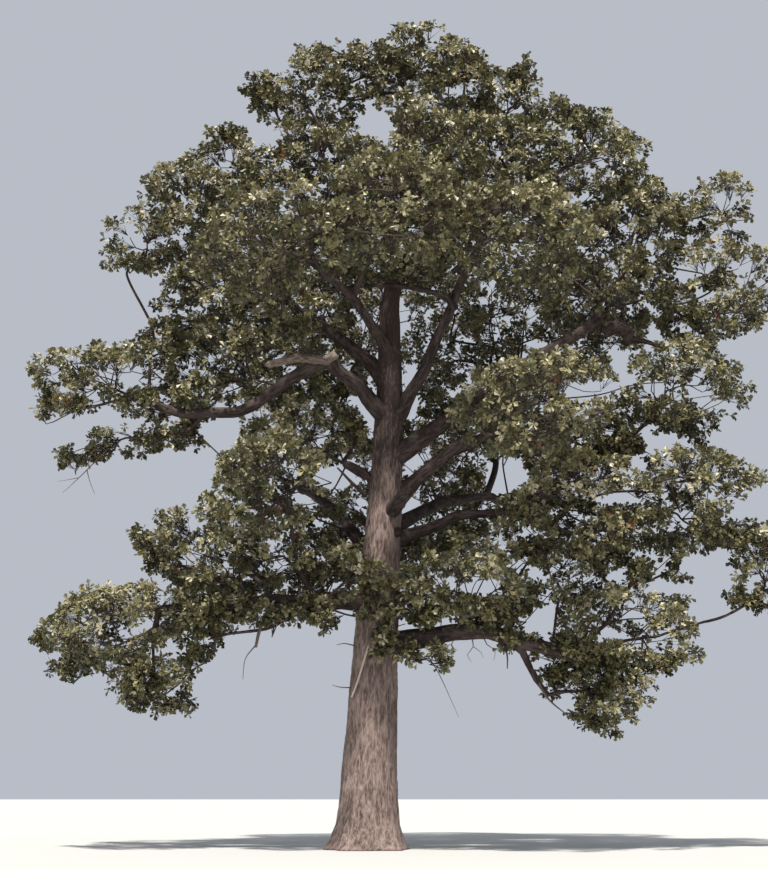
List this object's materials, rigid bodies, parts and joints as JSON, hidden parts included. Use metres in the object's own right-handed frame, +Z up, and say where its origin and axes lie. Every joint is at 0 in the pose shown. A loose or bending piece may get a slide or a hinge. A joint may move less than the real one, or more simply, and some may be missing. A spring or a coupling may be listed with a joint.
{
  "type": "oak tree",
  "caption": "Mature open-grown oak in full leaf: tapering trunk with a root flare, spreading boughs and a broad crown of separate foliage masses with sky between them",
  "frame": {"origin": "middle of the flat cut under the trunk, at ground level", "axes": "+Z up the trunk, +X to the right side of the tree seen from its front, +Y to its back"},
  "size_m": [20.6121, 16.9142, 22.0455],
  "materials": {
    "bark": "rough furrowed grey-brown bark",
    "foliage": "olive-green leaves with a slight gloss"
  },
  "bodies": {
    "root": {"trunk": "bark", "left_low_bough": "bark", "right_low_bough": "bark", "right_low_fork": "bark", "left_mid_bough": "bark", "left_mid_stub": "bark", "left_inner_bough": "bark", "left_high_bough": "bark", "right_steep_bough": "bark", "right_mid_bough": "bark", "right_shelf_bough": "bark", "right_high_bough": "bark", "front_left_bough": "bark", "front_right_bough": "bark", "back_left_bough": "bark", "back_right_bough": "bark", "back_low_bough": "bark", "upper_heart": "foliage", "upper_left_heart": "foliage", "upper_right_heart": "foliage", "crown_top": "foliage", "top_left_tuft": "foliage", "top_right_tuft": "foliage", "back_top": "foliage", "front_upper": "foliage", "left_shoulder": "foliage", "left_shoulder_tuft": "foliage", "left_shoulder_tip": "foliage", "left_skirt": "foliage", "front_left_shoulder": "foliage", "front_shoulder": "foliage", "front_right_shoulder": "foliage", "right_shoulder": "foliage", "right_tuft": "foliage", "right_skirt": "foliage", "right_skirt_tip": "foliage", "back_left_high": "foliage", "back_high": "foliage", "back_right_high": "foliage", "left_shelf": "foliage", "left_shelf_tip": "foliage", "left_droop": "foliage", "left_inner": "foliage", "front_left_mid": "foliage", "back_left_mid": "foliage", "right_shelf": "foliage", "right_shelf_tip": "foliage", "right_low_shelf": "foliage", "right_low_shelf_tip": "foliage", "right_far_droop": "foliage", "front_right_mid": "foliage", "back_right_mid": "foliage", "left_low": "foliage", "left_low_tip": "foliage", "left_low_droop": "foliage", "right_low": "foliage", "right_low_tip": "foliage", "right_low_droop": "foliage", "front_low": "foliage", "back_low": "foliage"}
  },
  "joints": []
}
